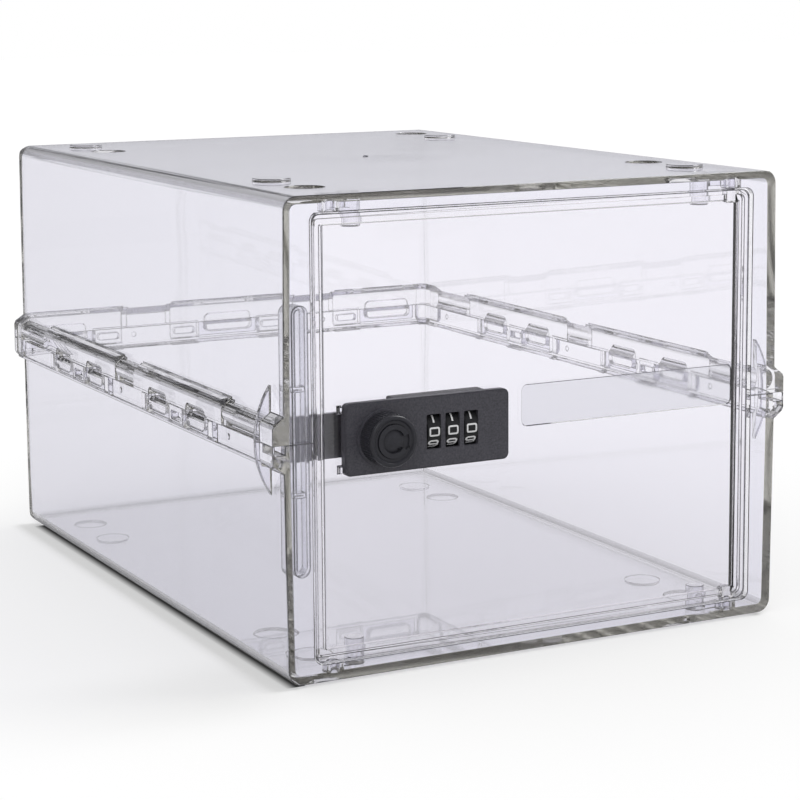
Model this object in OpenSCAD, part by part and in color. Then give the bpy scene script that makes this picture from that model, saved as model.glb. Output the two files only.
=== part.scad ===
// Clear lockable box: two snapped half shells, a hinged door in the front
// opening and a three-dial combination cam lock. Millimetres, +Z up, door
// towards -Y. The origin is under the middle of the whole box.

/* [Case] */
// Width over the side walls at the seam
case_w = 205; // [190:1:240]
// Depth from the front plane to the rear wall at the seam
case_d = 282; // [250:1:330]
// Height of one half shell
half_h = 85; // [70:1:110]
// Thickness of floor, roof and walls
wall_t = 2.8; // [2.2:0.1:3.4]
// Mould draft of one half shell, on each wall
draft = 1; // [0.2:0.1:1.6]
// Radius of the outer edges
edge_r = 5; // [4:0.5:7]
// Thickness of the flange round the front opening
flange_t = 2.6; // [2:0.1:3]
// Width of the flange at each side, wall included
flange_side = 11.3; // [10.5:0.1:15]
// Height of the flange at floor and roof, wall included
flange_rim = 6.2; // [5.6:0.1:8]
// Corner radius of the front opening
opening_r = 3; // [2:0.5:5]

/* [Stacking feet] */
// Radius of a stacking foot
foot_r = 7; // [5:0.5:9]
// Height of a stacking foot
foot_h = 1.2; // [0.8:0.1:1.4]
// Clearance of the recess round and under a foot
foot_gap = 0.2; // [0.1:0.05:0.4]
// Distance of the feet from the side plane
foot_side = 22.5; // [18:0.5:30]
// Distance of the outer feet from the front and rear planes
foot_end = 29; // [22:0.5:36]
// Distance between a foot and the recess beside it
foot_pitch = 28; // [24:0.5:36]

/* [Snap band] */
// How far the band stands out from the wall
band_out = 4.2; // [3.8:0.1:5]
// Height of the band on each side of the seam
band_h = 10; // [9.5:0.1:11.5]
// Height of the band's chamfer
band_bevel = 3.3; // [2.5:0.1:4]
// Length of a tongue's plate along the wall
tongue_w = 24; // [21.5:0.5:27]
// Thickness of a tongue
tongue_t = 1.5; // [1.2:0.1:1.7]
// How far a tongue hangs past the seam
tongue_drop = 7.2; // [6.8:0.1:7.6]
// Distance between the two tongues of a pair
tongue_pitch = 37.5; // [33:0.5:40]
// Length of a side window
window_w = 18; // [14:0.5:18.5]
// Length of a rear window
rear_window_w = 23; // [18:0.5:26]
// Height of a window above the seam
window_up = 3; // [2:0.1:3.6]
// Height of a window below the seam
window_down = 5.2; // [4.6:0.1:5.4]
// Free space round a tongue and between a catch and its window
snap_gap = 0.25; // [0.15:0.05:0.4]
// Length of band beyond the tongues at each end of a block
block_end = 12.7; // [8:0.1:14]
// Gap between the two blocks of a side
block_gap = 20; // [14:1:30]
// Distance of the outer rear windows from the side plane
rear_inset = 21.5; // [20:0.5:28]
// Radius of the half-round rail over the seam
rail_r = 3.9; // [3:0.1:4.2]
// Depth of the front boss of the band, from the front plane
boss_d = 10.8; // [8:0.1:12]
// Height of the gusset fin behind the front boss
fin_h = 38; // [30:1:44]
// How far the gusset fin stands out from the wall
fin_out = 5.8; // [4.4:0.1:6.4]
// Thickness of the gusset fin
fin_t = 2; // [1.2:0.1:2.4]

/* [Door] */
// Thickness of the door panel
door_t = 2.8; // [2.4:0.1:3]
// How far the door's face sits behind the front plane
door_inset = 0.4; // [0.2:0.1:0.6]
// Gap round the door's top, bottom and lock edge
door_gap = 0.45; // [0.3:0.05:0.7]
// Distance from the opening's side to the hinge axis
hinge_in = 8; // [7.6:0.1:8.6]
// Distance from the front plane to the hinge axis
hinge_back = 4.6; // [4.4:0.1:5]
// Radius of the hinge pivots
pivot_r = 2.2; // [1.6:0.1:2.4]
// Radial running clearance of the hinge pivots
pivot_gap = 0.06; // [0.03:0.01:0.1]
// Radius of the hinge knuckles on the door
knuckle_r = 3; // [2.8:0.1:3.2]
// Length of a hinge knuckle
knuckle_h = 4.5; // [4:0.5:12]
// Radius of the hinge sockets' bosses
socket_r = 3.7; // [3.6:0.1:4.4]
// Distance from the door's edge to the stiffening rim
rim_edge = 1.9; // [1.5:0.1:2.4]
// Width of the stiffening rim
rim_w = 2.1; // [1.6:0.1:2.6]
// Height of the stiffening rim behind the panel
rim_h = 2.6; // [2:0.1:3]
// Radius of the door stop posts
stop_r = 3.5; // [3:0.05:4.5]
// Height of the door stop posts over the floor
stop_h = 9.4; // [8.5:0.1:13]
// Distance from the opening's side to a stop post
stop_in = 18.7; // [17:0.1:24]
// Gap between the closed door's rim and its stops
stop_gap = 0.25; // [0.15:0.05:0.4]
// Width of the frosted label field
label_w = 91; // [60:1:92]
// Height of the frosted label field
label_h = 15; // [10:0.5:20]
// Depth of the label field
label_deep = 0.4; // [0.2:0.1:0.8]
// Height of the label field's middle over the seam
label_up = 5.2; // [2:0.1:12]
// Distance of the label field from the door's hinge edge
label_in = 8.1; // [7:0.1:12]

/* [Strike strip] */
// Height of the strike strip
strip_h = 95; // [70:1:110]
// Width of the strike strip
strip_w = 6.4; // [5.6:0.1:7]
// Depth of the strike strip behind the flange
strip_d = 6; // [5:0.1:6.4]
// Wall of the strike strip
strip_t = 1.3; // [1:0.1:1.6]
// Distance of the cross ribs from the seam
strip_rib = 18.5; // [14:0.5:28]

/* [Lock] */
// Width of the lock's front plate
plate_w = 65; // [62:1:70]
// Height of the lock's front plate
plate_h = 25.5; // [24:0.5:28]
// Thickness of the lock's front plate
plate_t = 3; // [2.6:0.1:3.4]
// Corner radius of the front plate
plate_r = 2.2; // [1:0.1:4]
// Distance from the opening's lock side to the plate
plate_in = 10.6; // [9:0.1:16]
// Distance from the plate's left edge to the knob axis
knob_in = 14.4; // [13.5:0.1:15]
// Radius of the knob
knob_r = 9.3; // [8:0.1:10]
// Length of the fluted part of the knob
knob_l = 7.9; // [6:0.1:11]
// Number of flutes round the knob
flutes = 48; // [24:2:60]
// Radius of the knob's base ring
ring_r = 10; // [9.4:0.1:11]
// Thickness of the knob's base ring
ring_t = 1.2; // [0.8:0.1:2]
// Radius of the spindle
spindle_r = 4; // [3:0.1:4.5]
// Radial running clearance of the spindle
spindle_gap = 0.06; // [0.03:0.01:0.1]
// Radius of a dial
dial_r = 7.7; // [7:0.1:8]
// Width of a dial
dial_w = 5.2; // [4.4:0.1:5.4]
// Distance between dials
dial_pitch = 7.45; // [7.2:0.05:8]
// Distance from the knob axis to the first dial
dial_in = 20.2; // [19.8:0.1:22]
// How far the dials stand out of the plate
dial_proud = 0.7; // [0.3:0.1:1]
// Height of a dial window
dial_window_h = 12.4; // [11:0.1:13]
// Radius of the dial axle
axle_r = 1.5; // [1:0.1:2]
// Radial running clearance of the dials on their axle
axle_gap = 0.05; // [0.03:0.01:0.1]
// Length of the cam from the spindle axis to its tip
cam_l = 30.6; // [28:0.1:31]
// Width of the cam
cam_w = 16; // [12:0.5:18]
// Thickness of the cam
cam_t = 2; // [1.5:0.1:2.5]
// Gap between the strike strip and the cam
cam_gap = 0.6; // [0.4:0.1:1.2]

/* [Hidden] */

// Places
knob_reach = plate_t - door_inset + ring_t + knob_l;
front_y = knob_reach - (case_d + knob_reach + band_out) / 2;
seam_z = foot_h + half_h;
lean = draft / half_h;
open_hw = case_w / 2 - flange_side;
open_hh = half_h - flange_rim;
clear = 0.15;
bite = 0.5;

// Door and hinge, measured from the front plane and the seam
hinge_x = open_hw - hinge_in;
door_back = door_inset + door_t;
door_left = -open_hw + door_gap;
door_hh = open_hh - door_gap;
door_nose = 1.2;
swing_gap = 0.25;
swing_r = sqrt(pow(hinge_in - swing_gap, 2) + pow(hinge_back - flange_t, 2)) - door_nose;
door_right = hinge_x + door_nose + sqrt(swing_r * swing_r - pow(hinge_back - door_inset - door_nose, 2));
lock_corner = opening_r - door_gap;
hinge_corner = opening_r + 0.7;
label_x = door_right - label_in;
stop_y = door_back + rim_h + stop_gap + stop_r;

// Snap band
lift = tongue_drop + snap_gap * 2;
block_l = tongue_pitch + tongue_w + 2 * block_end;
block_u = (block_gap + block_l) / 2;
rear_tongue_w = rear_window_w + 7;
rear_u = case_w / 2 - rear_inset;
rear_flank = 13.6;
rear_block = rear_tongue_w / 2 + rear_flank;
rear_side0 = rear_u - rear_block;
divider_t = tongue_pitch - tongue_w - 2 * snap_gap - 0.3;
window_r = 2.2;
corner_lap = 0.05;
corner_set = 0.1;
rear_side1 = case_w / 2 - edge_r + corner_lap;
front_u = -case_d / 2;
step_out = band_out - 0.9;
step_l = 2.4;
plain_out = band_out - 1.4;
ledge_out = 3;
ledge_z = -band_h * 0.86;
corner_run = 8;
fin_r = (pow(fin_h / 2, 2) + fin_out * fin_out) / (2 * fin_out);

// Lock, measured from the knob axis on the front plane
knob_x = -open_hw + plate_in + knob_in;
plate_y = door_inset - plate_t;
dial_y = plate_y - dial_proud + dial_r;
hub_r = plate_h / 2 - 1.5;
cam_y = flange_t + strip_d + cam_gap;
neck_y = cam_y - 0.2;
deep_x0 = cam_w / 2 + 1.4;
deep_x1 = plate_w - knob_in - 3.8;
cavity_x0 = dial_in - dial_pitch + dial_w / 2 - 0.1;
cavity_x1 = dial_in + 2 * dial_pitch + dial_w / 2 + 0.4;
cavity_h = 2 * dial_r + 1;
cover_y = dial_y + dial_r + 0.8;
cover_t = 1.2;
skirt_x0 = -7;
skirt_x1 = deep_x1 - 0.3;
skirt_h = cavity_h + 1.6;
window_face = 1.4;
code_t = dial_pitch - dial_w - 0.35;
code_r = dial_r - 2.7;
axle_x0 = cavity_x0 - 1.8;
axle_x1 = cavity_x1 + 1.8;
square_w = spindle_r * 1.35;
arc_r0 = knob_r * 0.43;
arc_r1 = knob_r * 0.66;
stud_r = spindle_r - 1.5;
bar_w = 2;
finger_end = dial_r + 1.9;
screw_r = 1.25;
screw_head_r = 2;
screw_head_t = 1.4;
screws = [[5.5, -6.6, neck_y - screw_head_t - 0.2], [deep_x1 - 2.9, 0, cover_y + cover_t]];

// Points of an arc from angle a0 to a1
function arc(x, y, r, a0, a1, n = 6) =
    [for (i = [0 : n]) let (a = a0 + (a1 - a0) * i / n) [x + r * cos(a), y + r * sin(a)]];

// Outline of a rounded rectangle from corner [x0, y0] to [x1, y1]
function round_rect(x0, y0, x1, y1, r, n = 6) = concat(
    arc(x1 - r, y1 - r, r, 0, 90, n), arc(x0 + r, y1 - r, r, 90, 180, n),
    arc(x0 + r, y0 + r, r, 180, 270, n), arc(x1 - r, y0 + r, r, 270, 360, n));

// Extrudes an outline of [x, z] points from y0 back to y1
module along_y(y0, y1, pts) translate([0, y1, 0]) rotate([90, 0, 0]) linear_extrude(y1 - y0) polygon(pts);

// Extrudes an outline of [y, z] points from x0 to x1
module along_x(x0, x1, pts) translate([x0, 0, 0]) rotate([90, 0, 90]) linear_extrude(x1 - x0) polygon(pts);

// Cylinder along +Y
module rod_y(x, z, y0, y1, r) translate([x, y0, z]) rotate([-90, 0, 0])
    cylinder(r = r, h = y1 - y0, $fn = 48);

// Cylinder along +X
module rod_x(x0, x1, y, z, r) translate([x0, y, z]) rotate([0, 90, 0])
    cylinder(r = r, h = x1 - x0, $fn = 48);

module box(x0, x1, y0, y1, z0, z1) translate([x0, y0, z0]) cube([x1 - x0, y1 - y0, z1 - z0]);

// ---- Half shells: seam at z = 0, floor at z = -half_h, front plane at y = 0 ----

// Closed tray form with leaning walls and rounded edges
module tray(w, y0, y1, h, r, top) {
    tilt = atan(lean);
    zc = r - h;
    xc = w / 2 + zc * lean - r / cos(tilt);
    yc = y1 + zc * lean - r / cos(tilt);
    intersection() {
        along_y(y0, y1 + 1, concat([[-w / 2 - top * lean, top], [w / 2 + top * lean, top]],
            arc(xc, zc, r, -tilt, -90), arc(-xc, zc, r, -90, tilt - 180)));
        along_x(-w, w, concat([[y1 + top * lean, top], [y0, top], [y0, -h]], arc(yc, zc, r, -90, -tilt)));
        translate([0, 0, -h - 1]) linear_extrude(h + 1 + top) polygon(concat(
            [[-w / 2 - 1, y0], [w / 2, y0]],
            arc(w / 2 - r, y1 - r, r, 0, 90), arc(r - w / 2, y1 - r, r, 90, 180), [[-w / 2, y0]]));
    }
}

module side_walls() for (m = [0, 1]) mirror([m, 0, 0])
    translate([case_w / 2, case_d / 2, 0]) rotate([0, 0, 90]) children();

module rear_wall() translate([0, case_d, 0]) rotate([0, 0, 180]) children();

// Bar along a wall, from an outline of [outward, z] points
module wall_bar(u0, u1, pts) along_x(u0, u1, [for (p = pts) [-p[0], p[1]]]);

// Plate or pocket facing a wall, from an outline of [u, z] points
module wall_face(o0, o1, pts) along_y(-o1, -o0, pts);

// Two points that carry a chamfer from [out, z] on into the wall, which it meets at height -h
function wall_foot(out, z, h) = let (x = out - 1.2 * (out + lean * h), z1 = z - 1.2 * (z + h))
    [[x, z1], [-1.5, z1]];

band_z = band_bevel - band_h;
soft_out = band_out - 0.45;
soft_z = band_z - 0.35;
full_band = concat([[-1.5, 0], [band_out, 0], [band_out, band_z + 0.9], [soft_out, soft_z]],
    wall_foot(soft_out, soft_z, band_h));
step_band = concat([[-1.5, 0], [step_out, 0], [step_out, band_z + 0.9]],
    wall_foot(step_out, band_z + 0.9, band_h - 0.9));
plain_band = concat([[-1.5, 0], [plain_out, 0], [plain_out, band_z + 1.2]],
    wall_foot(plain_out, band_z + 1.2, band_h - 1.4));
ledge = concat([[-1.5, -lift], [ledge_out, -lift], [ledge_out, ledge_z]],
    wall_foot(ledge_out, ledge_z, band_h - 0.4));

// Band pieces that both halves have: front boss, gusset fin and rear corners
module band_ends() {
    side_walls() {
        wall_bar(front_u, front_u + boss_d, full_band);
        intersection() {
            rod_x(front_u + boss_d - 0.1, front_u + boss_d + fin_t, fin_r - fin_out, 0, fin_r);
            box(front_u, front_u + boss_d + 3, -fin_out - 1, 0.8, -fin_h, 0);
        }
        wall_bar(case_d / 2 - edge_r - corner_run, case_d / 2 - edge_r + corner_lap, full_band);
    }
    for (m = [0, 1]) mirror([m, 0, 0]) translate([case_w / 2 - edge_r, case_d - edge_r, 0])
        rotate_extrude(angle = 90, $fn = 64)
            polygon([for (p = full_band) [p[0] + edge_r - corner_set, p[1]]]);
}

// Plate of a tongue, hung from a block at u
module tongue(u, w) wall_face(band_out - tongue_t, band_out,
    round_rect(u - w / 2, -1.2, u + w / 2, tongue_drop, 1.1, 3));

module tongue_window(u, w) wall_face(0.15, band_out + 1,
    round_rect(u - w / 2, -window_up, u + w / 2, window_down, window_r, 4));

module tongue_block(u, l, at, w) {
    difference() {
        union() {
            wall_bar(u - l / 2, u + l / 2, full_band);
            wall_bar(u - l / 2 - step_l, u + l / 2 + step_l, step_band);
            for (z = [-band_h + 0.9, -band_h + 2.6]) wall_bar(u - l / 2 + 2, u + l / 2 - 2,
                [[0, z - 0.5], [band_out * 0.62 + (z + band_h) * 0.55, z], [0, z + 0.6]]);
            for (c = at) tongue(c, w);
        }
        for (c = at) tongue_window(c, w == tongue_w ? window_w : rear_window_w);
    }
}

module rail(u0, u1) translate([u0, 0, 0]) intersection() {
    rod_x(0, u1 - u0, 0, -rail_r - 0.35, rail_r);
    box(0, u1 - u0, -rail_r - 1, 1, -2 * rail_r - 1, 0);
}

module tongue_band() {
    side_walls() {
        rail(front_u + boss_d, case_d / 2 - edge_r);
        for (s = [-1, 1]) tongue_block(s * block_u, block_l,
            [s * block_u - tongue_pitch / 2, s * block_u + tongue_pitch / 2], tongue_w);
    }
    rear_wall() {
        wall_bar(edge_r - case_w / 2, case_w / 2 - edge_r, plain_band);
        tongue_block(0, 2 * rear_block, [0], rear_tongue_w);
        for (s = [-1, 1]) tongue_block(s * (rear_side0 + rear_side1) / 2, rear_side1 - rear_side0,
            [s * rear_u], rear_tongue_w);
    }
}

// Catch that fills the lower part of a window
module catch_wedge(u, w) {
    half = w / 2 - snap_gap;
    z0 = snap_gap - window_down;
    intersection() {
        wall_bar(u - half, u + half,
            [[-1, z0], [band_out - 0.1, z0], [band_out - 0.1, z0 + 2.8], [3, -0.6], [-1, -0.6]]);
        wall_face(-2, band_out, round_rect(u - half, z0, u + half, 2, window_r - snap_gap, 4));
    }
}

// Plain panel with a small round mark, between the dividers
module band_panel(u0, u1, out = 2.2, top = -0.8) {
    wall_bar(u0, u1, [[-1, -lift], [out, -lift], [out, top], [-1, top]]);
    translate([(u0 + 3 * u1) / 4, 0, -lift / 2]) rotate([90, 0, 0])
        cylinder(r = 1.1, h = out + 0.4, $fn = 24);
}

module divider(u0, u1) difference() {
    wall_bar(u0, u1, full_band);
    if (u1 - u0 > 8) wall_face(1.2, band_out + 1, round_rect(u0 + 1.6, -5.4, u1 - 1.6, -2.2, 1, 3));
}

module catch_band() {
    gap = snap_gap + 0.15;
    side_walls() {
        wall_bar(front_u + boss_d, case_d / 2 - edge_r, ledge);
        for (s = [-1, 1]) {
            for (k = [-1, 1]) catch_wedge(s * block_u + k * tongue_pitch / 2, window_w);
            divider(s * block_u - divider_t / 2, s * block_u + divider_t / 2);
            for (k = [-1, 1]) let (e = s * block_u + k * (tongue_pitch + tongue_w) / 2 + k * gap)
                divider(min(e, e + k * 4), max(e, e + k * 4));
        }
        band_panel(-block_gap / 2 - block_end + 4 + gap, block_gap / 2 + block_end - 4 - gap);
        band_panel(front_u + boss_d + fin_t - bite, -block_u - block_l / 2 + block_end - 4 - gap);
        band_panel(block_u + block_l / 2 - block_end + 4 + gap, case_d / 2 - edge_r - corner_run + bite);
    }
    rear_wall() {
        wall_bar(edge_r - case_w / 2, case_w / 2 - edge_r, ledge);
        for (u = [-rear_u, 0, rear_u]) {
            catch_wedge(u, rear_window_w);
            for (k = [-1, 1]) let (e = u + k * (rear_tongue_w / 2 + gap))
                if (abs(e) < case_w / 2 - edge_r - 3)
                    divider(min(e, u + k * rear_block), max(e, u + k * rear_block));
        }
        for (m = [0, 1]) mirror([m, 0, 0])
            band_panel(rear_block - bite, rear_side0 + bite, plain_out, -0.15);
    }
}

// Places of the feet, or of the recesses that take another box's feet
module foot_spots(outer) for (s = [-1, 1]) {
    far = case_d / 2 - foot_end;
    near = far - foot_pitch;
    translate([s * (case_w / 2 - foot_side), case_d / 2 + s * (outer ? far : -near), -half_h]) children();
}

// Hinge sockets and door stops in the two front corners of a half
module corner_fittings() for (s = [-1, 1]) {
    translate([s * hinge_x, hinge_back, -half_h + wall_t - bite])
        cylinder(r = socket_r, h = flange_rim - wall_t + bite - 0.1, $fn = 48);
    translate([s * (open_hw - stop_in), stop_y, -half_h + wall_t - bite])
        cylinder(r = stop_r, h = stop_h + bite, $fn = 48);
    box(min(s * hinge_x, s * (open_hw - stop_in)) + 1, max(s * hinge_x, s * (open_hw - stop_in)) - 1,
        hinge_back + 1.9, hinge_back + 3.5, -half_h + wall_t - bite, -half_h + flange_rim - 0.9);
}

module half_shell() difference() {
    union() {
        difference() {
            tray(case_w, 0, case_d, half_h, edge_r, 0);
            tray(case_w - 2 * wall_t, flange_t, case_d - wall_t, half_h - wall_t, edge_r - wall_t + 0.4, 1);
            along_y(-1, flange_t + 1, round_rect(-open_hw, -open_hh, open_hw, open_hh, opening_r));
        }
        corner_fittings();
        for (outer = [true, false]) foot_spots(outer)
            translate([0, 0, -foot_h]) cylinder(r = foot_r, h = foot_h + 0.4, $fn = 64);
        children();
    }
    // hinge sockets
    for (s = [-1, 1]) translate([s * hinge_x, hinge_back, -half_h + wall_t - 0.6])
        cylinder(r = pivot_r + pivot_gap, h = flange_rim, $fn = 48);
    // recesses for the feet of another box
    mirror([1, 0, 0]) for (outer = [true, false]) foot_spots(outer)
        translate([0, 0, -1]) cylinder(r = foot_r + foot_gap, h = foot_h + foot_gap + 1, $fn = 64);
}

// Small openings in the faces of the two lower front bosses: a slot under the seam and a notch below it
module boss_openings() for (m = [0, 1]) mirror([m, 0, 0]) translate([case_w / 2, 0, 0]) {
    box(-0.6, 3.5, -1, boss_d - 1.6, -3.3, 1);
    along_y(-1, 2.4, [[-0.2, -5.3], [0.7, -4.9], [1.8, -4.7], [2.9, -4.9], [3.8, -5.3], [1.4, -7.9]]);
}

module in_case() translate([0, front_y, seam_z]) children();

module lower_shell() color([0.86, 0.87, 0.9, 0.35]) in_case() difference() {
    half_shell() {
        band_ends();
        catch_band();
    }
    boss_openings();
}

module upper_shell() color([0.88, 0.89, 0.92, 0.35]) in_case() rotate([0, 180, 0]) half_shell() {
    band_ends();
    tongue_band();
}

// Channel-shaped strip behind the flange at the lock side
module strike_strip() color([0.84, 0.85, 0.88, 0.4]) in_case() {
    x1 = -open_hw - 0.8;
    x0 = x1 - strip_w;
    r = strip_w / 2;
    difference() {
        along_y(flange_t, flange_t + strip_d, round_rect(x0, -strip_h / 2, x1, strip_h / 2, r - 0.01, 8));
        difference() {
            along_y(flange_t + strip_t, flange_t + strip_d + 1, round_rect(
                x0 + strip_t, strip_t - strip_h / 2,
                x1 - strip_t, strip_h / 2 - strip_t, r - strip_t - 0.01, 8));
            for (s = [-1, 1]) box(x0, x1, flange_t, flange_t + strip_d,
                s * strip_rib - strip_t / 2, s * strip_rib + strip_t / 2);
        }
    }
}

// ---- Door ----

// Outline of the door drawn in by inset, its hinge corners rounder than its lock corners
function lip_outline(inset) = let (
    rl = max(0.5, lock_corner - inset * 0.8), rh = max(0.5, hinge_corner - inset * 0.8),
    x0 = door_left + inset, x1 = door_right - inset, z = door_hh - inset) concat(
    arc(x1 - rh, z - rh, rh, 0, 90), arc(x0 + rl, z - rl, rl, 90, 180),
    arc(x0 + rl, rl - z, rl, 180, 270), arc(x1 - rh, rh - z, rh, 270, 360));

module door_lip(inset, y0, y1) along_y(y0, y1, lip_outline(inset));

module door() color([0.9, 0.91, 0.94, 0.3]) in_case() difference() {
    union() {
        // panel, its lock and hinge edges rounded at the face
        intersection() {
            door_lip(0, door_inset, door_back);
            translate([0, 0, -half_h]) linear_extrude(2 * half_h) polygon(concat(
                arc(door_right - door_nose, door_inset + door_nose, door_nose, 0, -90),
                arc(door_left + 0.5, door_inset + 0.5, 0.5, -90, -180, 3),
                [[door_left, door_back], [door_right, door_back]]));
        }
        difference() {
            door_lip(rim_edge, door_back - bite, door_back + rim_h);
            door_lip(rim_edge + rim_w, door_back - 1, door_back + rim_h + 1);
        }
        for (m = [0, 1]) mirror([0, 0, m]) {
            translate([hinge_x, hinge_back, door_hh - swing_gap - knuckle_h])
                cylinder(r = knuckle_r, h = knuckle_h, $fn = 48);
            translate([hinge_x, hinge_back, door_hh - 1])
                cylinder(r = pivot_r, h = half_h - wall_t + 0.3 - door_hh + 1, $fn = 48);
            // lug beside the lock plate
            translate([knob_x - knob_in - 1.5, door_inset - 1.6, plate_h / 2 - 3.6])
                cube([1.3, 1.6 + bite, 2.6]);
        }
    }
    // frosted label field
    along_y(door_inset - 1, door_inset + label_deep, round_rect(label_x - label_w, label_up - label_h / 2,
        label_x, label_up + label_h / 2, 2, 4));
    // cut-out for the lock
    at_knob() along_y(door_inset - 1, door_back + 1,
        round_rect(skirt_x0 - clear, -skirt_h / 2 - clear, skirt_x1 + clear, skirt_h / 2 + clear, 1.6, 4));
}

// ---- Lock: knob axis at x = z = 0, front plane at y = 0 ----

module at_knob() translate([knob_x, 0, 0]) children();
module in_lock() in_case() at_knob() children();

function dial_x(i) = dial_in + i * dial_pitch;

module lock_plate() color([0.13, 0.13, 0.14]) in_lock() difference() {
    union() {
        along_y(plate_y + 0.5, door_inset,
            round_rect(-knob_in, -plate_h / 2, plate_w - knob_in, plate_h / 2, plate_r));
        // softened front edge in two steps
        along_y(plate_y + 0.2, door_inset, round_rect(0.25 - knob_in, 0.25 - plate_h / 2,
            plate_w - knob_in - 0.25, plate_h / 2 - 0.25, plate_r));
        along_y(plate_y, door_inset, round_rect(0.6 - knob_in, 0.6 - plate_h / 2,
            plate_w - knob_in - 0.6, plate_h / 2 - 0.6, plate_r));
        along_y(door_inset - 1, door_back,
            round_rect(skirt_x0, -skirt_h / 2, skirt_x1, skirt_h / 2, 1.5, 4));
        rod_y(0, 0, plate_y - ring_t, plate_y + 1, ring_r);
    }
    rod_y(0, 0, plate_y - ring_t - 1, door_back + 1, spindle_r + spindle_gap);
    for (i = [0 : 2]) along_y(plate_y - 1, door_back, round_rect(dial_x(i) - dial_w / 2 - 0.25,
        -dial_window_h / 2, dial_x(i) + dial_w / 2 + 0.25, dial_window_h / 2, 0.5, 3));
    box(cavity_x0, cavity_x1, plate_y + window_face, door_back + 1, -cavity_h / 2, cavity_h / 2);
    rod_x(axle_x0 - 0.1, axle_x1 + 0.1, dial_y, 0, axle_r + 0.02);
    for (s = screws) rod_y(s[0], s[1], door_back - 2.4, door_back + 1, screw_r + 0.03);
    box(-bar_w, cavity_x0 + 1, door_back - 0.4, door_back + 1, spindle_r - 1, cavity_h / 2);
}

module lock_housing() color([0.16, 0.16, 0.17]) in_lock() difference() {
    union() {
        rod_y(0, 0, door_back, neck_y, hub_r);
        box(0, deep_x1, door_back, neck_y, -hub_r, hub_r);
        along_y(door_back, cover_y, round_rect(deep_x0, -hub_r, deep_x1, hub_r, 0.8, 3));
    }
    rod_y(0, 0, door_back - 1, neck_y + 1, spindle_r + spindle_gap);
    box(cavity_x0, cavity_x1, door_back - 1, cover_y + 1, -cavity_h / 2, cavity_h / 2);
    rod_x(axle_x0 - 0.1, axle_x1 + 0.1, dial_y, 0, axle_r + 0.02);
    // channel of the locking bar
    box(-bar_w, cavity_x0 + 1, door_back - 1, neck_y - 0.8, spindle_r - 1, cavity_h / 2 - 1.1);
    box(deep_x0 + 1.4, cavity_x0 + 1, door_back - 1, cover_y + 1, spindle_r, cavity_h / 2);
    for (s = screws) {
        rod_y(s[0], s[1], door_back - 1, cover_y + 1, screw_r + 0.03);
        rod_y(s[0], s[1], s[2], cover_y + 5, screw_head_r + 0.1);
    }
}

module housing_cover() color([0.16, 0.16, 0.17]) in_lock() difference() {
    along_y(cover_y, cover_y + cover_t, round_rect(deep_x0, -hub_r, deep_x1, hub_r, 0.8, 3));
    rod_y(screws[1][0], screws[1][1], cover_y - 1, cover_y + cover_t + 1, screw_r + 0.03);
}

module dial_axle() color([0.7, 0.7, 0.72]) in_lock() rod_x(axle_x0, axle_x1, dial_y, 0, axle_r);

// Dial with a low ridge between its ten figures
module dial(i) color([0.1, 0.1, 0.1]) in_lock() translate([dial_x(i) - dial_w / 2, dial_y, 0])
    rotate([90, 0, 90]) difference() {
        union() {
            linear_extrude(dial_w) circle(r = dial_r - 0.25, $fn = 80);
            linear_extrude(dial_w) for (k = [0 : 9])
                rotate(18 + k * 36) translate([dial_r - 1.1, -0.35]) square([1.1, 0.7]);
            translate([0, 0, 0.5]) linear_extrude(dial_w - 1) circle(r = dial_r - 0.1, $fn = 80);
        }
        translate([0, 0, -1]) cylinder(r = axle_r + axle_gap, h = dial_w + 2, $fn = 48);
    }

// Code wheel beside a dial, with one gate in its rim
module code_wheel(i) color([0.72, 0.6, 0.35]) in_lock()
    translate([dial_x(i) - dial_w / 2 - code_t, dial_y, 0])
    rotate([90, 0, 90]) difference() {
        cylinder(r = code_r, h = code_t, $fn = 60);
        translate([0, 0, -1]) cylinder(r = axle_r + axle_gap, h = code_t + 2, $fn = 48);
        rotate(45) translate([code_r - 1.2, -1.1, -1]) cube([3, 2.2, code_t + 2]);
    }

// Bar behind the dials, its fingers facing the gates and its end over the spindle
module locking_bar() color([0.75, 0.75, 0.77]) in_lock() {
    y1 = cover_y - 0.7;
    z1 = cavity_h / 2 - 0.1;
    x0 = deep_x0 + 1.7;
    union() {
        box(x0, cavity_x1 - 0.4, y1 - bar_w, y1, z1 - 1.7, z1);
        box(x0, x0 + 2, door_back + 2.6, y1, spindle_r + 0.6, z1);
        box(-bar_w + 0.4, x0 + 1, door_back + 2.6, neck_y - 1, spindle_r + 0.3, spindle_r + 2.6);
        for (i = [0 : 2]) translate([dial_x(i) - dial_w / 2 - code_t / 2 - 0.6, dial_y, 0])
            rotate([45, 0, 0])
            translate([0, code_r + 0.3, -0.9]) cube([1.2, finger_end - code_r, 1.8]);
    }
}

// Leaf spring with one bump behind each dial
module detent_spring() color([0.8, 0.8, 0.82]) in_lock() {
    box(cavity_x0 + 0.4, cavity_x1 - 0.3, cover_y - 0.35, cover_y, -cavity_h / 2 + 0.4, -cavity_h / 2 + 3);
    for (i = [0 : 2]) {
        box(dial_x(i) - 1.5, dial_x(i) + 1.5, cover_y - 0.35, cover_y, -cavity_h / 2 + 2.5, 1.6);
        rod_x(dial_x(i) - 1.2, dial_x(i) + 1.2, cover_y - 0.3, 0, 0.3);
    }
}

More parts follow.
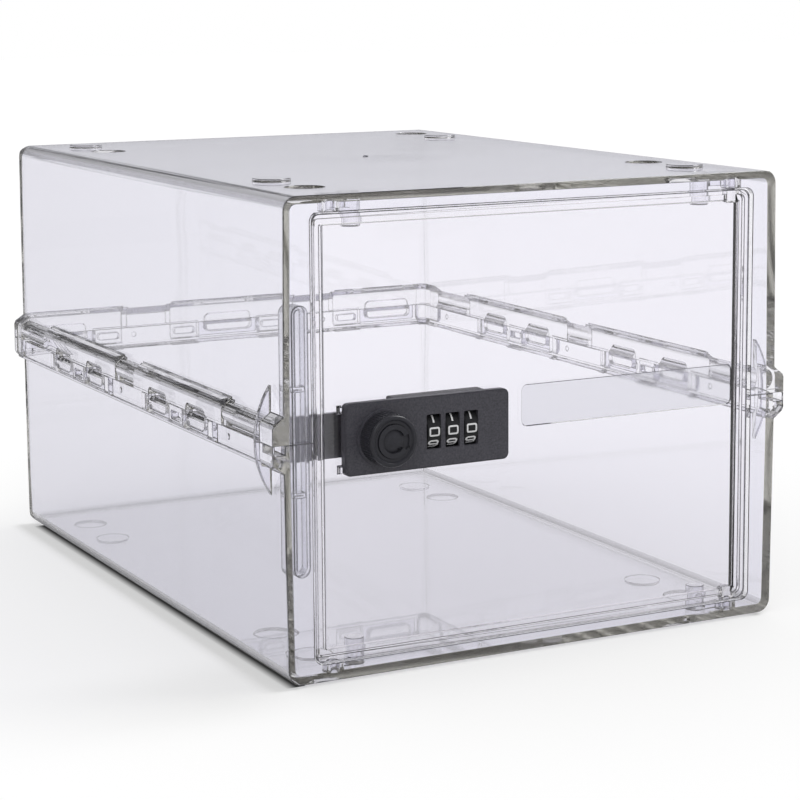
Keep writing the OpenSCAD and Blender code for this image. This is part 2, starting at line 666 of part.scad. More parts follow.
module lock_screws() color([0.62, 0.63, 0.65]) in_lock() for (s = screws) {
    rod_y(s[0], s[1], door_back - 2.2, s[2] + 0.01, screw_r);
    difference() {
        rod_y(s[0], s[1], s[2], s[2] + screw_head_t, screw_head_r);
        box(s[0] - 1.5, s[0] + 1.5, s[2] + 0.7, s[2] + 3, s[1] - 0.25, s[1] + 0.25);
        box(s[0] - 0.25, s[0] + 0.25, s[2] + 0.7, s[2] + 3, s[1] - 1.5, s[1] + 1.5);
    }
}

// Fluted knob: axis along z here, its face up
module knob_form() difference() {
    l = knob_l - clear;
    union() {
        linear_extrude(l - 1.3) difference() {
            circle(r = knob_r, $fn = 96);
            for (k = [0 : flutes - 1])
                rotate(k * 360 / flutes) translate([knob_r + 0.12, 0]) circle(r = 0.34, $fn = 16);
        }
        // rim, dish, groove and dome of the face
        rotate_extrude($fn = 96) polygon(concat([[0, 1], [knob_r - 0.5, 1], [knob_r - 0.2, l - 1.3]],
            arc(knob_r - 1, l - 0.8, 0.8, 0, 90, 5),
            [[knob_r - 1.6, l], [knob_r - 2.1, l - 0.7], [arc_r1, l - 0.7]],
            [[arc_r1 - 0.1, l - 1.3], [arc_r0, l - 1.3]],
            [for (k = [5 : -1 : 0]) [k * arc_r0 / 5, l - 0.35 - k * k * 0.03]]));
        // raised arc in the groove, open towards the dials
        translate([0, 0, l - 1.5]) difference() {
            cylinder(r = arc_r1 - 0.2, h = 1.35, $fn = 72);
            translate([0, 0, -1]) cylinder(r = arc_r0 + 0.2, h = 4, $fn = 72);
            translate([0, 0, -1]) linear_extrude(4)
                polygon([[0, 0], [knob_r, -0.7 * knob_r], [knob_r, 0.4 * knob_r]]);
        }
    }
    translate([0, 0, -1]) cylinder(r = spindle_r + 0.03, h = 4, $fn = 48);
    translate([1.9, -3.1, l - 1.6]) cylinder(r = 0.7, h = 3, $fn = 24);
    translate([5.9, -3, l - 1.2]) rotate(20) cube([0.5, 2, 3]);
}

module knob() color([0.11, 0.11, 0.12]) in_lock()
    translate([0, plate_y - ring_t - clear, 0]) rotate([90, 0, 0]) knob_form();

module cam_spindle() color([0.66, 0.66, 0.69]) in_lock() {
    rod_y(0, 0, plate_y - ring_t - 3, cam_y - 0.1, spindle_r);
    box(-square_w / 2, square_w / 2, cam_y - 0.2, cam_y + cam_t, -square_w / 2, square_w / 2);
    rod_y(0, 0, cam_y + cam_t - 0.1, cam_y + cam_t + 3, stud_r);
}

module cam() color([0.36, 0.36, 0.38]) in_lock() difference() {
    union() {
        along_y(cam_y, cam_y + cam_t, round_rect(-cam_l, -cam_w / 2, 1, cam_w / 2, 1.6, 4));
        rod_y(0, 0, cam_y, cam_y + cam_t, cam_w / 2 + 0.4);
    }
    box(-square_w / 2 - 0.05, square_w / 2 + 0.05, cam_y - 1, cam_y + cam_t + 1,
        -square_w / 2 - 0.05, square_w / 2 + 0.05);
}

module cam_nut() color([0.7, 0.7, 0.73]) in_lock() difference() {
    translate([0, cam_y + cam_t, 0]) rotate([-90, 0, 0]) cylinder(r = stud_r + 2.2, h = 2.2, $fn = 6);
    rod_y(0, 0, cam_y, cam_y + cam_t + 5, stud_r + 0.03);
}

lower_shell();
upper_shell();
strike_strip();
door();
lock_plate();
lock_housing();
housing_cover();
knob();
cam_spindle();
cam();
cam_nut();
dial_axle();
dial(0);  // dial_1
dial(1);  // dial_2
dial(2);  // dial_3
code_wheel(0);  // code_wheel_1
code_wheel(1);  // code_wheel_2
code_wheel(2);  // code_wheel_3
locking_bar();
detent_spring();
lock_screws();
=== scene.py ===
import math

import bmesh
import bpy
from mathutils import Matrix, Vector
from mathutils.geometry import intersect_point_line


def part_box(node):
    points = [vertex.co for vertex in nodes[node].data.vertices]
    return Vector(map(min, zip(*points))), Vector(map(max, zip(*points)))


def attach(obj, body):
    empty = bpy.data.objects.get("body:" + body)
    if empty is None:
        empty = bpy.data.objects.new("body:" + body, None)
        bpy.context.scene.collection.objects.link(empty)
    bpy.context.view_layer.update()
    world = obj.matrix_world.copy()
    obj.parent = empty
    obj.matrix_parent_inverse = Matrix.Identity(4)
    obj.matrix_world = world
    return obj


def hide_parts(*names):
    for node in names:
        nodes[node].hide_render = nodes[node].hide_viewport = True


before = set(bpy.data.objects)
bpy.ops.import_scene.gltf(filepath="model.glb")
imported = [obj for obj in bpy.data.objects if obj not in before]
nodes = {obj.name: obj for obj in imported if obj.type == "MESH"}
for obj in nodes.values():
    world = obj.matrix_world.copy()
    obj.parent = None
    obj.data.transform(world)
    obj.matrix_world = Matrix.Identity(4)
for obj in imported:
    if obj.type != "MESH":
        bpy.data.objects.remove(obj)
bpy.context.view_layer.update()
scene = bpy.context.scene
mm = 0.001
print("frame loaded:", len(nodes), "nodes")

# places taken from the frame, in metres
lowLower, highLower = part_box("lower_shell")
lowUpper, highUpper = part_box("upper_shell")
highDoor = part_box("door")[1]
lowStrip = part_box("strike_strip")[0]
seamHeight = (lowLower.z + highUpper.z) / 2
frontPlane = lowLower.y
onFace = 0.005 * mm          # a point nearer than this lies on a face
white = (1, 1, 1, 1)


# a shader socket whose operators add Math nodes
class Shade:
    def __init__(self, tree, socket=None):
        self.tree = tree
        self.socket = socket

    def node(self, kind, settings=None, inputs=None, out=0):
        made = self.tree.nodes.new(kind)
        for name, value in (settings or {}).items():
            setattr(made, name, value)
        for name, value in (inputs or {}).items():
            socket = made.inputs[name]
            if isinstance(value, Shade):
                self.tree.links.new(value.socket, socket)
            else:
                socket.default_value = value
        return Shade(self.tree, made.outputs[out] if made.outputs else None)

    def maths(self, operation, first, second):
        return self.node("ShaderNodeMath", {"operation": operation}, {0: first, 1: second})

    def __add__(self, other):
        return self.maths("ADD", self, other)

    def __radd__(self, other):
        return self.maths("ADD", other, self)

    def __sub__(self, other):
        return self.maths("SUBTRACT", self, other)

    def __rsub__(self, other):
        return self.maths("SUBTRACT", other, self)

    def __mul__(self, other):
        return self.maths("MULTIPLY", self, other)

    def __rmul__(self, other):
        return self.maths("MULTIPLY", other, self)

    def __gt__(self, other):
        return self.maths("GREATER_THAN", self, other)


def newMaterial(name):
    material = bpy.data.materials.new(name)
    material.use_nodes = True
    material.node_tree.nodes.clear()
    return material, Shade(material.node_tree)


# sockets 6 and 7 and output 2 of a Mix node are its colours
def mixColours(make, factor, first, second):
    return make.node(
        "ShaderNodeMix", {"data_type": "RGBA"}, {0: factor, 6: first, 7: second}, out=2)


# a ray that refracts counts as glossy and as transmission, so a mirrored one is glossy > through
def lightPaths(make):
    return [make.node("ShaderNodeLightPath", out=name) for name in
            ("Is Camera Ray", "Is Glossy Ray", "Is Transmission Ray")]


def splitPlace(make, place, axes):
    return [make.node("ShaderNodeSeparateXYZ", inputs={"Vector": place}, out=i) for i in axes]


def placePiece(name, work, material):
    mesh = bpy.data.meshes.new(name)
    work.to_mesh(mesh)
    work.free()
    mesh.materials.append(material)
    piece = bpy.data.objects.new(name, mesh)
    scene.collection.objects.link(piece)
    return piece


# softened edges and curved faces carry painted dark shade, standing in for dark reflections and
# refraction
marks = ("edge", "frost", "round")          # softened edges, the etched panel and curved faces


# clear moulded plastic: nearly colourless through a wall, olive grey along an edge; it reads the
# marks as face values, so that one material closes the body, and softened edges and curved faces
# take a painted dark shade in place of dark reflections
def clearPlastic(name, look):
    material, make = newMaterial(name)
    place = make.node("ShaderNodeTexCoord", out="Object")
    flow = make.node("ShaderNodeTexNoise", inputs={
        "Vector": place, "Scale": look["flowScale"], "Detail": look["flowDetail"]})
    bump = make.node("ShaderNodeBump", inputs={
        "Strength": look["flow"], "Distance": look["flowDepth"], "Height": flow})
    edge, frost, paintedCurveMask = [
        make.node("ShaderNodeAttribute", {"attribute_name": mark}, out=2) for mark in marks]
    facing = make.node("ShaderNodeLayerWeight", inputs={"Blend": look["roundBlend"]}, out=1)
    # painted shade: softened edges are tinted dark, in place of dark reflections
    tint = mixColours(make, edge, look["tint"], look["paintedShadeTint"])
    tint = mixColours(make, frost, tint, look["frostTint"])
    # painted shade: curved faces darken towards their outline, in place of dark refraction
    tint = mixColours(make, paintedCurveMask * facing * look["paintedCurveShade"], tint, look["paintedShadeTint"])
    body = make.node("ShaderNodeBsdfPrincipled", inputs={
        "Base Color": tint, "Roughness": look["roughness"] + frost * look["frostRoughness"],
        "IOR": look["ior"], "Transmission Weight": 1, "Specular Tint": look["mirror"],
        "Normal": bump})
    # the thick lower edge of the sides bends light away, so its shadow is dark
    side, height = splitPlace(make, place, (0, 2))
    outside = make.maths("ABSOLUTE", side, 0) > highLower.x - look["rolledIn"]
    rolled = outside * (1 - (height > look["rolledUp"]))
    thinShadow, thickShadow = [
        make.node("ShaderNodeBsdfTransparent", inputs={"Color": look[key]})
        for key in ("shadowTint", "edgeShadow")]
    shadow = make.node("ShaderNodeMixShader", inputs={0: rolled, 1: thinShadow, 2: thickShadow})
    isShadow = make.node("ShaderNodeLightPath", out="Is Shadow Ray")
    surface = make.node("ShaderNodeMixShader", inputs={0: isShadow, 1: body, 2: shadow})
    depth = make.node("ShaderNodeVolumeAbsorption", inputs={
        "Color": look["depthTint"], "Density": look["density"]})
    make.node("ShaderNodeOutputMaterial", inputs={"Surface": surface, "Volume": depth})
    return material


# what every opaque finish has unless it says otherwise
plainLook = {
    "stretch": (1, 1, 1), "ior": 1.5, "metallic": 0, "grainDetail": 3, "grainRoughness": 0.6,
    "cloudScale": 60, "cloudDetail": 2, "cloudSpread": 0.08, "noiseMiddle": 0.5}


# opaque moulding or metal, its grain in the colour, the gloss and the relief
def solidFinish(name, look):
    look = {**plainLook, **look}
    material, make = newMaterial(name)
    place = make.node("ShaderNodeTexCoord", out="Object")
    stretched = make.node("ShaderNodeMapping", inputs={
        "Vector": place, "Scale": look["stretch"]})
    grain = make.node("ShaderNodeTexNoise", inputs={
        "Vector": stretched, "Scale": look["grainScale"], "Detail": look["grainDetail"],
        "Roughness": look["grainRoughness"]})
    cloud = make.node("ShaderNodeTexNoise", inputs={
        "Vector": place, "Scale": look["cloudScale"], "Detail": look["cloudDetail"]})
    colour = mixColours(make, grain, look["dark"], look["light"])
    gloss = (look["roughness"] + look["glossSpread"] * (grain - look["noiseMiddle"])
             + look["cloudSpread"] * (cloud - look["noiseMiddle"]))
    bump = make.node("ShaderNodeBump", inputs={
        "Strength": look["relief"], "Distance": look["reliefDepth"], "Height": grain})
    body = make.node("ShaderNodeBsdfPrincipled", inputs={
        "Base Color": colour, "Roughness": gloss, "Metallic": look["metallic"], "Normal": bump,
        "IOR": look["ior"]})
    make.node("ShaderNodeOutputMaterial", inputs={"Surface": body})
    return material


clearLook = {
    "tint": (0.93, 0.925, 0.97, 1), "mirror": (1, 1, 1, 1), "roughness": 0.015, "ior": 1.585,
    "flowScale": 14, "flowDetail": 2, "flow": 0.03, "flowDepth": 0.5 * mm,
    "depthTint": (0.60, 0.59, 0.53, 1), "density": 6.2,
    # painted shade for softened edges and curved faces
    "paintedShadeTint": (0.008, 0.008, 0.014, 1), "paintedCurveShade": 0.9, "roundBlend": 0.5,
    "frostTint": (0.74, 0.74, 0.78, 1), "frostRoughness": 0.07,
    "shadowTint": (0.94, 0.94, 0.955, 1), "edgeShadow": (0.02, 0.02, 0.02, 1),
    "rolledIn": 12 * mm, "rolledUp": 7 * mm}
caseClear = clearPlastic("caseClear", clearLook)
doorClear = clearPlastic("doorClear", {**clearLook, "tint": (0.97, 0.96, 0.99, 1)})
stripClear = clearPlastic("stripClear", {
    **clearLook, "tint": (0.90, 0.90, 0.93, 1), "roughness": 0.12})
gateClear = clearPlastic("gateClear", {
    **clearLook, "tint": (0.10, 0.10, 0.13, 1), "roughness": 0.3})
plateBlack = solidFinish("plateBlack", {
    "dark": (0.014, 0.014, 0.019, 1), "light": (0.125, 0.121, 0.145, 1),
    "roughness": 0.42, "glossSpread": 0.25,
    "grainScale": 1500, "relief": 0.35, "reliefDepth": 0.1 * mm})
housingBlack = solidFinish("housingBlack", {
    "dark": (0.02, 0.02, 0.022, 1), "light": (0.035, 0.035, 0.038, 1),
    "roughness": 0.4, "glossSpread": 0.1,
    "grainScale": 700, "relief": 0.1, "reliefDepth": 0.05 * mm})
knobBlack = solidFinish("knobBlack", {
    "dark": (0.018, 0.018, 0.023, 1), "light": (0.042, 0.042, 0.052, 1),
    "roughness": 0.33, "glossSpread": 0.12,
    "grainScale": 1100, "relief": 0.12, "reliefDepth": 0.05 * mm})
dialBlack = solidFinish("dialBlack", {
    "dark": (0.010, 0.010, 0.011, 1), "light": (0.016, 0.016, 0.018, 1),
    "roughness": 0.28, "glossSpread": 0.08,
    "grainScale": 900, "relief": 0.08, "reliefDepth": 0.05 * mm})
figureWhite = solidFinish("figureWhite", {
    "dark": (0.70, 0.70, 0.71, 1), "light": (0.84, 0.84, 0.85, 1),
    "roughness": 0.45, "glossSpread": 0.1,
    "grainScale": 1200, "relief": 0.1, "reliefDepth": 0.03 * mm})
camSteel = solidFinish("camSteel", {
    "dark": (0.17, 0.165, 0.185, 1), "light": (0.33, 0.322, 0.37, 1),
    "roughness": 0.42, "glossSpread": 0.2, "metallic": 1,
    "grainScale": 320, "stretch": (1, 8, 8), "relief": 0.15, "reliefDepth": 0.04 * mm})
zincPlate = solidFinish("zincPlate", {
    "dark": (0.50, 0.50, 0.51, 1), "light": (0.68, 0.68, 0.69, 1),
    "roughness": 0.32, "glossSpread": 0.15, "metallic": 1,
    "grainScale": 500, "stretch": (1, 5, 1), "relief": 0.1, "reliefDepth": 0.03 * mm})
springSteel = solidFinish("springSteel", {
    "dark": (0.55, 0.55, 0.57, 1), "light": (0.72, 0.72, 0.74, 1),
    "roughness": 0.22, "glossSpread": 0.1, "metallic": 1,
    "grainScale": 500, "stretch": (6, 1, 1), "relief": 0.08, "reliefDepth": 0.03 * mm})
wheelBrass = solidFinish("wheelBrass", {
    "dark": (0.48, 0.34, 0.13, 1), "light": (0.66, 0.49, 0.22, 1),
    "roughness": 0.3, "glossSpread": 0.12, "metallic": 1,
    "grainScale": 420, "stretch": (1, 6, 6), "relief": 0.1, "reliefDepth": 0.03 * mm})
print("materials made")


# the clear mouldings are remade from the frame's meshes, with clean faces and softened edges
softEdges = {
    "shellWidth": 0.22 * mm, "stripWidth": 0.35 * mm, "doorWidth": 0.3 * mm,
    "weld": 0.002 * mm, "flatten": math.radians(0.4),
    "smooth": math.radians(28), "bend": math.radians(42),   # shaded smooth below, softened above
    "flatFace": 0.985,                                      # so near an axis a face is flat
    "alongShared": 0.87, "roomShared": 0.4,                 # for edges that share a corner
    "alongApart": 0.8, "roomApart": 0.45,                   # and for edges that don't
    # how dark the painted edge shade is, and how far its darkest part reaches
    "mark": 0.8, "darkMark": 0.97, "darkDepth": 12 * mm, "darkBeside": 8 * mm,
    "shadingWeight": 50}


# how dark the painted shade on a softened edge is: most on the door and round its opening
def paintedEdgeShade(centre):
    nearDoor = abs(centre.x) < highDoor.x + softEdges["darkBeside"]
    inFront = centre.y < frontPlane + softEdges["darkDepth"]
    return softEdges["darkMark"] if nearDoor and inFront else softEdges["mark"]


# turns the material index of each face into its mark, so that the body keeps one material
def markFaces(piece):
    piece.data.update()
    softened = piece.evaluated_get(bpy.context.evaluated_depsgraph_get())
    mesh = bpy.data.meshes.new_from_object(softened)
    kinds = [polygon.material_index for polygon in mesh.polygons]
    for i, name in enumerate(marks):
        layer = mesh.attributes.new(name, "FLOAT", "FACE")
        layer.data.foreach_set("value", [
            (paintedEdgeShade(polygon.center) if name == "edge" else 1.0) if kind == i + 1 else 0.0
            for kind, polygon in zip(kinds, mesh.polygons)])
    mesh.polygons.foreach_set("material_index", [0] * len(kinds))
    while len(mesh.materials) > 1:
        mesh.materials.pop()
    return mesh


# shortest way from one edge to another
def wayBetween(edge, other):
    def onto(point, start, end):
        share = intersect_point_line(point, start, end)[1]
        return start.lerp(end, min(max(share, 0), 1))

    a, b = (vert.co for vert in edge.verts)
    c, d = (vert.co for vert in other.verts)
    ways = [onto(a, c, d) - a, onto(b, c, d) - b, c - onto(c, a, b), d - onto(d, a, b)]
    return min(ways, key=lambda way: way.length_squared)


# gives each sharp edge the share of the rounding that fits before it meets a neighbour
def weighEdges(work, widest):
    layer = work.edges.layers.float.new("bevel_weight_edge")
    sharp = {edge for edge in work.edges
             if len(edge.link_faces) == 2 and edge.calc_face_angle(0) > softEdges["bend"]}
    for edge in sharp:
        along = (edge.verts[1].co - edge.verts[0].co).normalized()
        room = widest
        near = {other for face in edge.link_faces for other in face.edges if other in sharp}
        for other in near - {edge}:
            shared = [vert for vert in edge.verts if vert in other.verts]
            if shared:
                side = other.other_vert(shared[0]).co - shared[0].co
                if abs(side.dot(along)) < softEdges["alongShared"] * side.length:
                    room = min(room, softEdges["roomShared"] * side.length)
            else:
                way = wayBetween(edge, other)
                if abs(way.dot(along)) < softEdges["alongApart"] * way.length:
                    room = min(room, softEdges["roomApart"] * way.length)
        edge[layer] = room / widest


# a node's mesh remade clean, with softened and marked edges, to stand in for the node
def cleanCopy(nodeName, pieceName, body, material, edit, soften):
    work = bmesh.new()
    work.from_mesh(nodes[nodeName].data)
    bmesh.ops.remove_doubles(work, verts=work.verts, dist=softEdges["weld"])
    bmesh.ops.dissolve_limit(
        work, angle_limit=softEdges["flatten"], verts=work.verts, edges=work.edges)
    for face in work.faces:
        face.smooth = True
        flat = max(abs(part) for part in face.normal) > softEdges["flatFace"]
        face.material_index = 0 if flat else marks.index("round") + 1
    for edge in work.edges:
        edge.smooth = len(edge.link_faces) == 2 and edge.calc_face_angle(0) < softEdges["smooth"]
    edit(work)
    weighEdges(work, soften)
    piece = placePiece(pieceName, work, material)
    for _ in marks:                             # one more slot for each mark
        piece.data.materials.append(material)
    rounding = piece.modifiers.new("softEdges", "BEVEL")
    rounding.width = soften
    rounding.segments = 1
    rounding.limit_method = "WEIGHT"
    rounding.use_clamp_overlap = False
    rounding.loop_slide = False
    rounding.material = marks.index("edge") + 1
    piece.data = markFaces(piece)
    piece.modifiers.clear()
    weighted = piece.modifiers.new("evenShading", "WEIGHTED_NORMAL")
    weighted.keep_sharp = True
    weighted.weight = softEdges["shadingWeight"]
    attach(piece, body)
    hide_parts(nodeName)
    return piece


# faces that touch part by a hair, so that light crosses two clean faces
hair = {"seam": 0.03 * mm, "strip": 0.04 * mm, "doorFace": 0.03 * mm}


def openSeam(shift):
    def edit(work):
        for vert in work.verts:
            if abs(vert.co.z - seamHeight) < onFace:
                vert.co.z += shift
    return edit


def setBackStrip(work):
    for vert in work.verts:
        if vert.co.y < lowStrip.y + onFace:
            vert.co.y += hair["strip"]


doorFront = {
    "face": 0.4 * mm, "panel": 0.8 * mm,        # depths behind the case's front
    "facing": 0.9}                              # least part of a normal that points forward


# sets the door's face back and frosts the sunk panel in it
def frostPanel(work):
    for vert in work.verts:
        if abs(vert.co.y - frontPlane - doorFront["face"]) < onFace:
            vert.co.y += hair["doorFace"]
    for face in work.faces:
        depth = face.calc_center_median().y - (frontPlane + doorFront["panel"])
        if abs(depth) < 2 * onFace and abs(face.normal.y) > doorFront["facing"]:
            face.material_index = marks.index("frost") + 1


mouldings = [
    cleanCopy("lower_shell", "lowerCase", "case", caseClear,
              openSeam(-hair["seam"]), softEdges["shellWidth"]),
    cleanCopy("upper_shell", "upperCase", "case", caseClear,
              openSeam(hair["seam"]), softEdges["shellWidth"]),
    cleanCopy("strike_strip", "strikeStrip", "case", stripClear,
              setBackStrip, softEdges["stripWidth"]),
    cleanCopy("door", "frontDoor", "door", doorClear,
              frostPanel, softEdges["doorWidth"])]


gateMark = {                                    # its profile is reach and height in mm
    "profile": ((0.0, 0.16), (0.45, 0.18), (0.62, 0.34), (0.86, 0.36), (1.05, 0.2), (1.15, 0.03)),
    "steps": 32, "weld": 0.001 * mm, "bandReach": 4.2 * mm, "footHeight": 1.2 * mm}


# small ring left where the sprue was trimmed, in the middle of the roof
def makeGateMark():
    middle = Vector((
        (lowUpper.x + highUpper.x) / 2,
        (frontPlane + highUpper.y - gateMark["bandReach"]) / 2,
        highUpper.z - gateMark["footHeight"]))
    work = bmesh.new()
    rings = []
    for reach, lift in gateMark["profile"]:
        ring = []
        for i in range(gateMark["steps"]):
            angle = math.tau * i / gateMark["steps"]
            ring.append(work.verts.new(middle + Vector((
                reach * mm * math.cos(angle), reach * mm * math.sin(angle), lift * mm))))
        rings.append(ring)
    for inner, outer in zip(rings, rings[1:]):
        for i in range(gateMark["steps"]):
            j = (i + 1) % gateMark["steps"]
            work.faces.new((inner[i], inner[j], outer[j], outer[i]))
    work.faces.new(rings[-1][::-1])
    bmesh.ops.remove_doubles(work, verts=work.verts, dist=gateMark["weld"])
    bmesh.ops.recalc_face_normals(work, faces=work.faces)
    for face in work.faces:
        face.smooth = True
    piece = placePiece("gateMark", work, gateClear)
    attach(piece, "case")


makeGateMark()
print("clear mouldings made:", sum(len(piece.data.polygons) for piece in mouldings), "faces")


nodeFinishes = {
    "lock_plate": plateBlack, "lock_housing": housingBlack, "housing_cover": housingBlack,
    "knob": knobBlack, "cam_spindle": zincPlate, "cam": camSteel, "cam_nut": zincPlate,
    "dial_1": dialBlack, "dial_2": dialBlack, "dial_3": dialBlack, "dial_axle": zincPlate,
    "code_wheel_1": wheelBrass, "code_wheel_2": wheelBrass, "code_wheel_3": wheelBrass,
    "locking_bar": zincPlate, "detent_spring": springSteel, "lock_screws": zincPlate}
for name, finish in nodeFinishes.items():
    node = nodes[name]
    node.data.materials.clear()
    node.data.materials.append(finish)

# each figure as strokes in a box one wide and one high; True closes the stroke
figureStrokes = {
    0: [([(-0.34, 0.5), (0.34, 0.5), (0.46, 0.46), (0.5, 0.32), (0.5, -0.32), (0.46, -0.46),
          (0.34, -0.5), (-0.34, -0.5), (-0.46, -0.46), (-0.5, -0.32), (-0.5, 0.32),
          (-0.46, 0.46)], True)],
    1: [([(0, 0.56), (0, -0.56)], False)],
    2: [([(-0.5, 0.26), (-0.44, 0.42), (-0.3, 0.5), (0.3, 0.5), (0.5, 0.34), (0.5, 0.16),
          (-0.5, -0.5), (0.5, -0.5)], False)],
    3: [([(-0.5, 0.5), (0.46, 0.5), (0.02, 0.08), (0.3, 0.06), (0.5, -0.1), (0.5, -0.34),
          (0.32, -0.5), (-0.32, -0.5), (-0.5, -0.34)], False)],
    4: [([(0.22, -0.54), (0.22, 0.5), (-0.5, -0.22), (0.52, -0.22)], False)],
    5: [([(0.46, 0.5), (-0.42, 0.5), (-0.46, 0.08), (0.3, 0.08), (0.5, -0.08), (0.5, -0.34),
          (0.32, -0.5), (-0.5, -0.5)], False)],
    6: [([(0.4, 0.5), (-0.24, 0.5), (-0.46, 0.34), (-0.5, 0.1), (-0.5, -0.34), (-0.32, -0.5),
          (0.32, -0.5), (0.5, -0.34), (0.5, -0.12), (0.32, 0.04), (-0.48, 0.04)], False)],
    7: [([(-0.5, 0.5), (0.48, 0.5), (-0.12, -0.54)], False)],
    8: [([(-0.3, 0.5), (0.3, 0.5), (0.44, 0.38), (0.44, 0.16), (0.3, 0.04), (0.5, -0.1),
          (0.5, -0.36), (0.32, -0.5), (-0.32, -0.5), (-0.5, -0.36), (-0.5, -0.1),
          (-0.3, 0.04), (-0.44, 0.16), (-0.44, 0.38)], True),
        ([(-0.3, 0.04), (0.3, 0.04)], False)],
}
figureStrokes[9] = [([(-x, -y) for x, y in points], closed) for points, closed in figureStrokes[6]]

figures = {
    "width": 3.5 * mm, "height": 2.7 * mm, "stroke": 0.62 * mm, "proud": 0.02 * mm,
    "thick": 0.05 * mm, "drumInset": 0.1 * mm, "tenth": math.radians(36),
    "cuts": 3, "mitreLimit": 0.4}


# flat ribbon along a stroke, with mitred corners
def ribbon(points, closed, width):
    count = len(points)
    rails = []
    for i in range(count):
        here = Vector(points[i])
        before = Vector(points[i - 1]) if i or closed else None
        after = Vector(points[(i + 1) % count]) if i < count - 1 or closed else None
        ways = [(end - start).normalized() for start, end in ((before, here), (here, after))
                if start is not None and end is not None]
        sides = [Vector((-way.y, way.x)) for way in ways]
        mitre = sum(sides, Vector((0, 0))).normalized()
        reach = width / 2 / max(mitre.dot(sides[0]), figures["mitreLimit"])
        rails.append((here + mitre * reach, here - mitre * reach))
    return rails


# the ten figures painted round one dial
def dialFigures(dialName, pieceName, body):
    low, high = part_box(dialName)
    middleX = (low.x + high.x) / 2
    axisY = (low.y + high.y) / 2
    axisZ = (low.z + high.z) / 2
    radius = max(high.z - low.z, high.y - low.y) / 2 - figures["drumInset"] + figures["proud"]
    work = bmesh.new()
    for digit, strokes in figureStrokes.items():
        for points, closed in strokes:
            sized = [(x * figures["width"], y * figures["height"]) for x, y in points]
            rails = ribbon(sized, closed, figures["stroke"])
            rows = []
            for rail in rails:
                row = []
                for x, y in rail:
                    angle = digit * figures["tenth"] + y / radius
                    row.append(work.verts.new((
                        middleX + x, axisY - radius * math.cos(angle),
                        axisZ + radius * math.sin(angle))))
                rows.append(row)
            pairs = list(zip(rows, rows[1:])) + ([(rows[-1], rows[0])] if closed else [])
            for (a, b), (c, d) in pairs:
                work.faces.new((a, b, d, c))
    bmesh.ops.subdivide_edges(work, edges=work.edges, cuts=figures["cuts"], use_grid_fill=True)
    for vert in work.verts:                     # back onto the drum after cutting
        spoke = Vector((0, vert.co.y - axisY, vert.co.z - axisZ)).normalized() * radius
        vert.co.y, vert.co.z = axisY + spoke.y, axisZ + spoke.z
    bmesh.ops.recalc_face_normals(work, faces=work.faces)
    piece = placePiece(pieceName, work, figureWhite)
    solid = piece.modifiers.new("paint", "SOLIDIFY")
    solid.thickness = figures["thick"]
    solid.offset = 0
    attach(piece, body)


for i in (1, 2, 3):
    dialFigures(f"dial_{i}", f"dialFigures{i}", f"dial_{i}")
print("lock dressed")


floorLook = {
    "size": 12, "drop": 0.02 * mm, "albedo": (0.66, 0.66, 0.66, 1),
    "lift": 0.38, "mirrorDrop": 0.65,
    "fibreScale": 900, "fibreDetail": 2, "fibreRelief": 0.02, "fibreDepth": 0.1 * mm,
    # the last four keys place and shade a painted shadow line on the paper beside the case
    "paintedShadowInset": 11.1 * mm, "paintedShadowWide": 4.4 * mm, "paintedShadowDark": 0.05,
    "paintedShadowEnd": 3 * mm}


def makeFloor():
    material, make = newMaterial("floorPaper")
    place = make.node("ShaderNodeTexCoord", out="Object")
    fibre = make.node("ShaderNodeTexNoise", inputs={
        "Vector": place, "Scale": floorLook["fibreScale"], "Detail": floorLook["fibreDetail"]})
    bump = make.node("ShaderNodeBump", inputs={
        "Strength": floorLook["fibreRelief"], "Distance": floorLook["fibreDepth"],
        "Height": fibre})
    paper = make.node("ShaderNodeBsdfDiffuse", inputs={
        "Color": floorLook["albedo"], "Normal": bump})
    black = make.node("ShaderNodeBsdfDiffuse", inputs={"Color": (0, 0, 0, 1)})
    clear = make.node("ShaderNodeBsdfTransparent")
    camera, glossy, through = lightPaths(make)
    seen = (camera + glossy + through) > 0
    glow = make.node("ShaderNodeEmission", inputs={
        "Color": white, "Strength": seen * floorLook["lift"]})
    lit = make.node("ShaderNodeAddShader", inputs={0: paper, 1: glow})
    surface = make.node("ShaderNodeMixShader", inputs={
        0: (glossy > through) * floorLook["mirrorDrop"], 1: lit, 2: black})
    # painted shadow: a dark line drawn on the paper, for camera rays only, where the rounded left
    # edge almost touches it
    side, back = splitPlace(make, place, (0, 1))
    lineStart = lowLower.x + floorLook["paintedShadowInset"]
    behindFront = back > frontPlane + floorLook["paintedShadowEnd"]
    pastBack = back > highUpper.y - floorLook["paintedShadowInset"]
    pastLine = side > lineStart + floorLook["paintedShadowEnd"]
    paintedShadowMask = behindFront * (1 - pastBack) * (1 - pastLine)
    fade = (lineStart - side) * (1 / floorLook["paintedShadowWide"])
    fade = make.maths("MINIMUM", make.maths("MAXIMUM", fade, floorLook["paintedShadowDark"]), 1)
    paintedShadowFactor = 1 - camera * paintedShadowMask * (1 - fade)
    surface = make.node("ShaderNodeMixShader", inputs={0: paintedShadowFactor, 1: black, 2: surface})
    # from below the floor can't be seen
    under = make.node("ShaderNodeNewGeometry", out="Backfacing")
    surface = make.node("ShaderNodeMixShader", inputs={0: under, 1: surface, 2: clear})
    make.node("ShaderNodeOutputMaterial", inputs={"Surface": surface})
    work = bmesh.new()
    half = floorLook["size"] / 2
    corners = ((-half, -half), (half, -half), (half, half), (-half, half))
    work.faces.new([work.verts.new((x, y, -floorLook["drop"])) for x, y in corners])
    floor = placePiece("floor", work, material)


worldLook = {
    "light": 0.5, "overhead": 0.25, "ceilingFrom": 0.3, "ceilingTo": 0.7,
    "mirrored": 0.375, "mirrorRight": 0.25, "mirrorBehind": 0.08,
    "mirrorTint": (0.93, 0.93, 1, 1)}


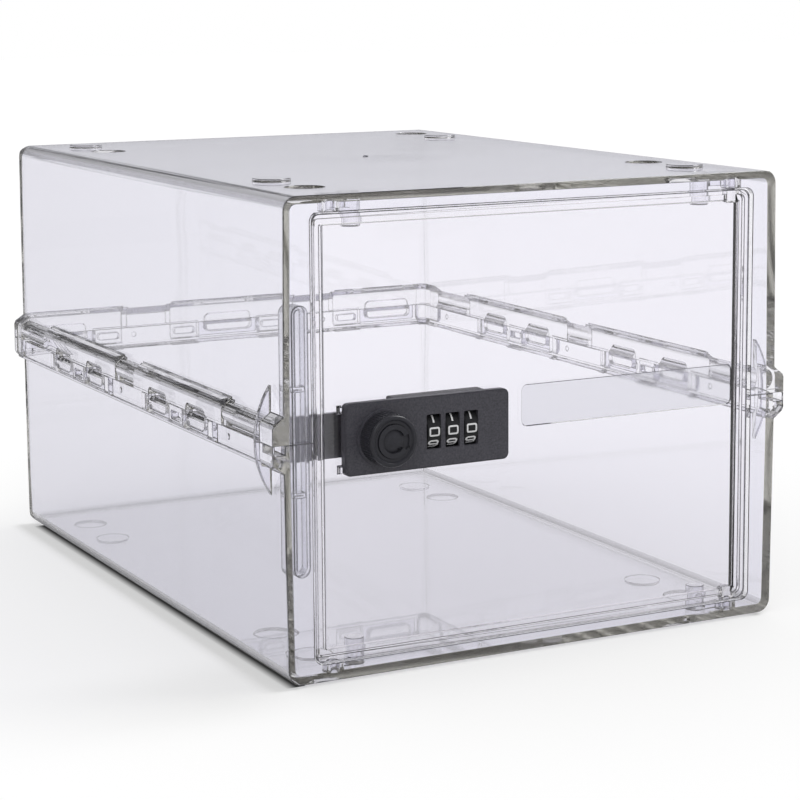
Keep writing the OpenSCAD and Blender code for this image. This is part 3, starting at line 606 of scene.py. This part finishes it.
def makeWorld():
    world = bpy.data.worlds.new("studio")
    scene.world = world
    world.use_nodes = True
    world.node_tree.nodes.clear()
    make = Shade(world.node_tree)
    camera, glossy, through = lightPaths(make)
    way = make.node("ShaderNodeTexCoord", out="Generated")
    side, back, height = splitPlace(make, way, (0, 1, 2))
    ceiling = make.node("ShaderNodeMapRange", inputs={
        "Value": height, "From Min": worldLook["ceilingFrom"], "From Max": worldLook["ceilingTo"],
        "To Min": 1.0, "To Max": worldLook["overhead"]})
    mirrored = glossy > through
    mirrorLight = (worldLook["mirrored"] + side * worldLook["mirrorRight"]
                   + back * worldLook["mirrorBehind"])
    seen = mirrored * mirrorLight + through
    strength = camera + seen * ceiling + (1 - camera - mirrored - through) * worldLook["light"]
    colour = mixColours(make, mirrored, white, worldLook["mirrorTint"])
    light = make.node("ShaderNodeBackground", inputs={"Color": colour, "Strength": strength})
    make.node("ShaderNodeOutputWorld", inputs={"Surface": light})


lamps = {
    "keyLamp": {"from": (1.3, -0.1, 1.4), "spread": 28, "power": 1.55},
    "fillLamp": {"from": (-0.9, -1.3, 1.2), "spread": 30, "power": 0.65},
}


def makeLamps():
    for name, lamp in lamps.items():
        light = bpy.data.lights.new(name, "SUN")
        light.angle = math.radians(lamp["spread"])
        light.energy = lamp["power"]
        holder = bpy.data.objects.new(name, light)
        holder.rotation_euler = Vector(lamp["from"]).to_track_quat("Z", "Y").to_euler()
        scene.collection.objects.link(holder)
        holder.visible_camera = False
        holder.visible_transmission = False


viewpoint = {
    "place": (-420.7 * mm, -836.95 * mm, 243.9 * mm),
    "yaw": 27.421, "pitch": 7.995, "roll": -0.387,
    "lens": 103.64, "sensor": 36, "shiftY": -0.125, "near": 0.01}


def makeCamera():
    yaw, pitch, roll = (math.radians(viewpoint[key]) for key in ("yaw", "pitch", "roll"))
    ahead = Vector((
        math.sin(yaw) * math.cos(pitch), math.cos(yaw) * math.cos(pitch), -math.sin(pitch)))
    levelRight = Vector((math.cos(yaw), -math.sin(yaw), 0))
    levelUp = levelRight.cross(ahead)
    right = levelRight * math.cos(roll) + levelUp * math.sin(roll)
    up = levelUp * math.cos(roll) - levelRight * math.sin(roll)
    data = bpy.data.cameras.new("camera")
    data.sensor_width = viewpoint["sensor"]
    data.lens = viewpoint["lens"]
    data.shift_y = viewpoint["shiftY"]
    data.clip_start = viewpoint["near"]
    camera = bpy.data.objects.new("camera", data)
    scene.collection.objects.link(camera)
    turn = Matrix((right, up, -ahead)).transposed().to_4x4()
    camera.matrix_world = Matrix.Translation(viewpoint["place"]) @ turn
    scene.camera = camera


makeFloor()
makeWorld()
makeLamps()
makeCamera()
scene.view_settings.view_transform = "Standard"
rayLimits = {
    "max_bounces": 96, "transmission_bounces": 96, "glossy_bounces": 64,
    "transparent_max_bounces": 64}
for name, limit in rayLimits.items():           # light crosses many clear walls
    setattr(scene.cycles, name, limit)
scene.cycles.caustics_reflective = False
scene.cycles.caustics_refractive = False
scene.cycles.use_denoising = True
print("stage, light and camera set")
